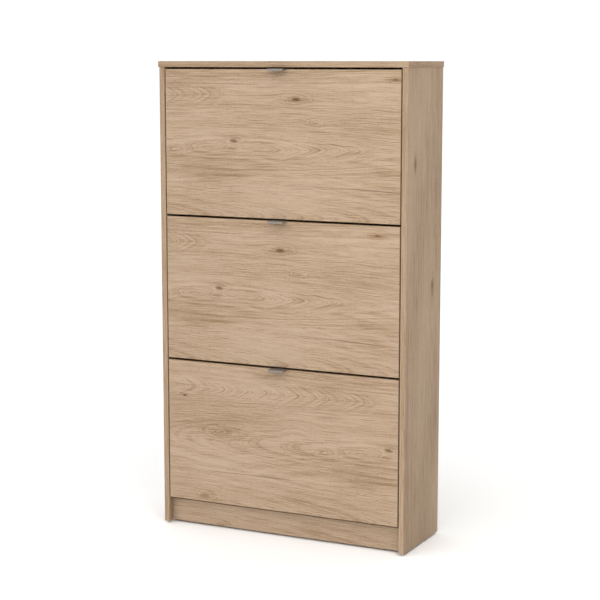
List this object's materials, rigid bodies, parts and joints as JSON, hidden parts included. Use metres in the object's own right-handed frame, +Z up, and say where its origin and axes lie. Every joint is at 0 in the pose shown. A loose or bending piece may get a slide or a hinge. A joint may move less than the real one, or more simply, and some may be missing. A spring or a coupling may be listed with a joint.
{
  "type": "shoe cabinet",
  "caption": "Tall, shallow shoe cabinet in wood-look board with stacked tilt-out flaps, each a panel with a small metal tab handle and a two-row shoe rack behind it.",
  "frame": {"origin": "bottom centre of the whole cabinet, handles included, on the floor", "axes": "+X to the right as seen from the front, +Y to the back, +Z up"},
  "size_m": [0.702, 0.258, 1.235],
  "materials": {
    "wood_board": "satin",
    "rack_board": "satin",
    "hardboard": "matte",
    "beech": "matte",
    "black_plastic": "satin",
    "pale_plastic": "satin",
    "handle_metal": "satin",
    "zinc_steel": "satin"
  },
  "bodies": {
    "carcass": {"top_panel": "wood_board", "left_side_panel": "wood_board", "right_side_panel": "wood_board", "base_panel": "wood_board", "plinth": "wood_board", "lower_rear_rail": "wood_board", "upper_rear_rail": "wood_board", "top_rear_rail": "wood_board", "lower_back_sheet": "hardboard", "upper_back_sheet": "hardboard", "back_joint_strip": "pale_plastic", "back_pins": "zinc_steel", "cam_locks": "zinc_steel", "cam_bolts": "zinc_steel", "wooden_dowels": "beech", "floor_glides": "pale_plastic", "pivot_bushes": "black_plastic", "stop_pins": "zinc_steel"},
    "lower_flap": {"lower_flap_front": "wood_board", "lower_handle": "handle_metal", "lower_handle_screws": "zinc_steel", "lower_left_rack_frame": "black_plastic", "lower_right_rack_frame": "black_plastic", "lower_rack_screws": "zinc_steel", "lower_front_floor": "rack_board", "lower_rack_divider": "rack_board", "lower_rear_floor": "rack_board", "lower_rear_board": "rack_board"},
    "middle_flap": {"middle_flap_front": "wood_board", "middle_handle": "handle_metal", "middle_handle_screws": "zinc_steel", "middle_left_rack_frame": "black_plastic", "middle_right_rack_frame": "black_plastic", "middle_rack_screws": "zinc_steel", "middle_front_floor": "rack_board", "middle_rack_divider": "rack_board", "middle_rear_floor": "rack_board", "middle_rear_board": "rack_board"},
    "upper_flap": {"upper_flap_front": "wood_board", "upper_handle": "handle_metal", "upper_handle_screws": "zinc_steel", "upper_left_rack_frame": "black_plastic", "upper_right_rack_frame": "black_plastic", "upper_rack_screws": "zinc_steel", "upper_front_floor": "rack_board", "upper_rack_divider": "rack_board", "upper_rear_floor": "rack_board", "upper_rear_board": "rack_board"}
  },
  "joints": [
    {"name": "lower_flap_tilt", "type": "hinge", "parent": "carcass", "child": "lower_flap", "pos_m": [0, -0.0805, 0.1545], "axis": [1, 0, 0], "range_deg": [0, 48]},
    {"name": "middle_flap_tilt", "type": "hinge", "parent": "carcass", "child": "middle_flap", "pos_m": [0, -0.0805, 0.5365], "axis": [1, 0, 0], "range_deg": [0, 48]},
    {"name": "upper_flap_tilt", "type": "hinge", "parent": "carcass", "child": "upper_flap", "pos_m": [0, -0.0805, 0.9185], "axis": [1, 0, 0], "range_deg": [0, 48]}
  ]
}
